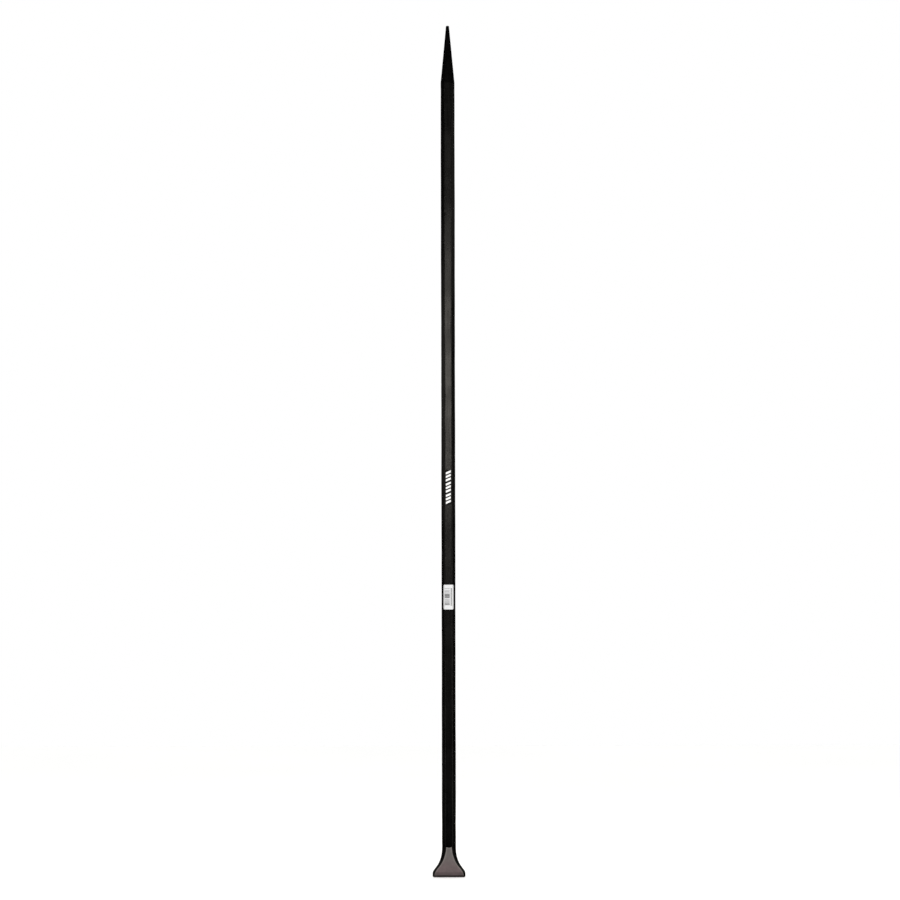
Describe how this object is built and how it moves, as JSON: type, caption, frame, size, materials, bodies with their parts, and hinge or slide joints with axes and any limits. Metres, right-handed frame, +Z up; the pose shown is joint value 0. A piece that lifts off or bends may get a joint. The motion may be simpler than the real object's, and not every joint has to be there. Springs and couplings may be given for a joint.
{
  "type": "digging bar",
  "caption": "Long hexagonal steel digging bar with a tapered point at one end and a flared chisel blade at the other, for breaking ground and prying.",
  "frame": {"origin": "middle of the cutting edge", "axes": "+Z up along the bar from the cutting edge to the tip of the point, +X along the cutting edge, -Y out of the front flat that carries the label"},
  "size_m": [0.0676, 0.0255, 1.7526],
  "materials": {
    "black_paint": "satin black paint over rolled steel",
    "blade_steel": "dull forged steel faces between black painted rims",
    "strip_film": "black film printed with plain white blocks",
    "label_paper": "white coated paper label with plain grey bars"
  },
  "bodies": {
    "root": {"shaft": "black_paint", "point": "black_paint", "chisel_blade": "blade_steel", "mark_strip": "strip_film", "price_label": "label_paper"}
  },
  "joints": []
}
